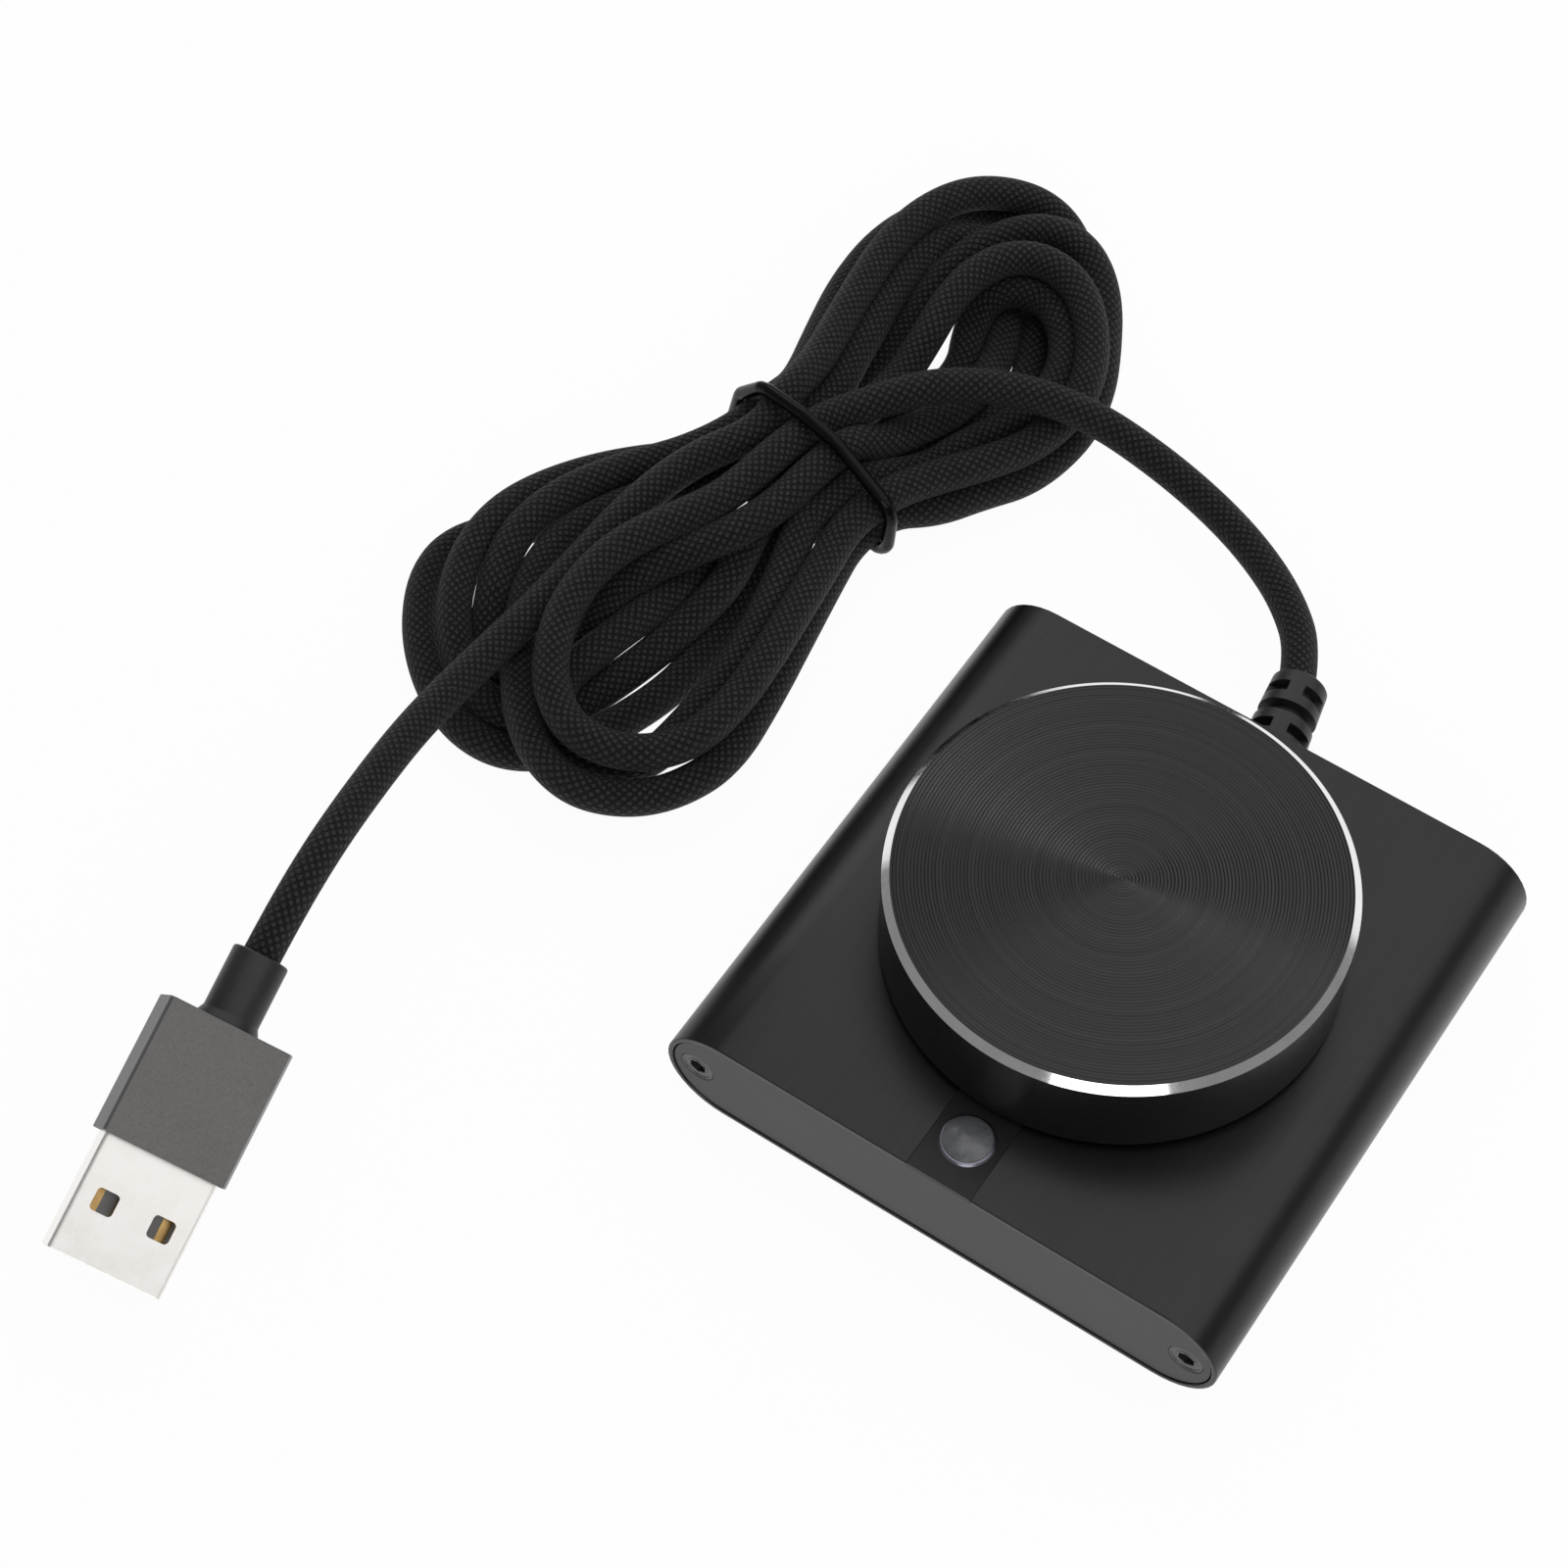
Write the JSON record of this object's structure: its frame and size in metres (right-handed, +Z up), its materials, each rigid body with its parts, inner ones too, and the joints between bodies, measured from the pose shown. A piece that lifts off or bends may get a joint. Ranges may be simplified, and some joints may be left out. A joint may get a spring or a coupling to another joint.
{
  "type": "usb volume control knob",
  "caption": "Flat oval-section metal case with a large round knob that turns and presses, a status light, and a braided USB lead tied in a hank.",
  "frame": {"origin": "on the desk, under the middle of the case, at the bottom of the feet", "axes": "+Z up along the knob, +X to the right along the front face, +Y to the back face, where the cord leaves; the light and the plain end plate are at -Y"},
  "size_m": [0.1208, 0.1671, 0.0253],
  "materials": {
    "case_metal": "satin black anodised",
    "plate_metal": "matte bead-blasted grey anodised",
    "screw_steel": "black oxide",
    "foot_rubber": "matte black",
    "insert_plastic": "matte black",
    "lens_plastic": "frosted clear",
    "led_body": "white with a clear top",
    "board_laminate": "green solder mask",
    "chip_plastic": "moulded black",
    "header_plastic": "cream nylon",
    "wire_sheath": "satin",
    "encoder_plastic": "moulded black",
    "plated_steel": "bright plated",
    "contact_brass": "gold plated",
    "shaft_metal": "turned",
    "knob_metal": "black anodised, spun top, bright cut edge",
    "core_plastic": "moulded black",
    "boot_rubber": "satin dark grey",
    "cord_braid": "black braided sleeve",
    "tie_rubber": "satin black",
    "grip_metal": "fine blasted grey with cut edges",
    "shell_steel": "bright nickel",
    "tongue_plastic": "dark grey"
  },
  "bodies": {
    "housing": {"housing_shell": "case_metal", "front_plate": "plate_metal", "rear_plate": "plate_metal", "front_screws": "screw_steel", "rear_screws": "screw_steel", "foot_front_left": "foot_rubber", "foot_front_right": "foot_rubber", "foot_rear_left": "foot_rubber", "foot_rear_right": "foot_rubber", "light_insert": "insert_plastic", "light_lens": "lens_plastic", "status_led": "led_body", "main_board": "board_laminate", "controller_chip": "chip_plastic", "board_parts": "chip_plastic", "wire_header": "header_plastic", "wire_plug": "header_plastic", "inner_leads": "wire_sheath", "cord_stub": "wire_sheath", "encoder_base": "encoder_plastic", "encoder_bushing": "plated_steel", "encoder_bracket": "plated_steel", "encoder_terminals": "contact_brass", "push_dome": "plated_steel", "shaft_washer": "plated_steel", "shaft_nut": "plated_steel", "strain_relief": "boot_rubber", "cord_lead": "cord_braid", "cord_hank": "cord_braid", "cord_tail": "cord_braid", "hank_tie": "tie_rubber", "plug_sleeve": "boot_rubber", "plug_grip": "grip_metal", "plug_shell": "shell_steel", "plug_tongue": "tongue_plastic", "plug_contacts": "contact_brass"},
    "plunger": {"switch_plunger": "encoder_plastic"},
    "knob": {"encoder_shaft": "shaft_metal", "knob_cap": "knob_metal", "knob_core": "core_plastic", "knob_clip": "plated_steel"},
    "rotor": {"encoder_rotor": "encoder_plastic", "detent_spring": "contact_brass"}
  },
  "joints": [
    {"name": "knob_press", "type": "slide", "parent": "housing", "child": "plunger", "axis": [0, 0, -1], "range_m": [0, 0.0005], "stiffness_N_per_m": 4000, "springref_m": -0.001},
    {"name": "knob_spin", "type": "hinge", "parent": "plunger", "child": "knob", "pos_m": [0, 0.0009, 0.0145], "axis": [0, 0, 1], "continuous": true},
    {"name": "rotor_spin", "type": "hinge", "parent": "housing", "child": "rotor", "pos_m": [0, 0.0009, 0.009], "axis": [0, 0, 1], "continuous": true}
  ],
  "couplings": [
    {"joint": "rotor_spin", "follows": "knob_spin", "ratio": 1}
  ]
}
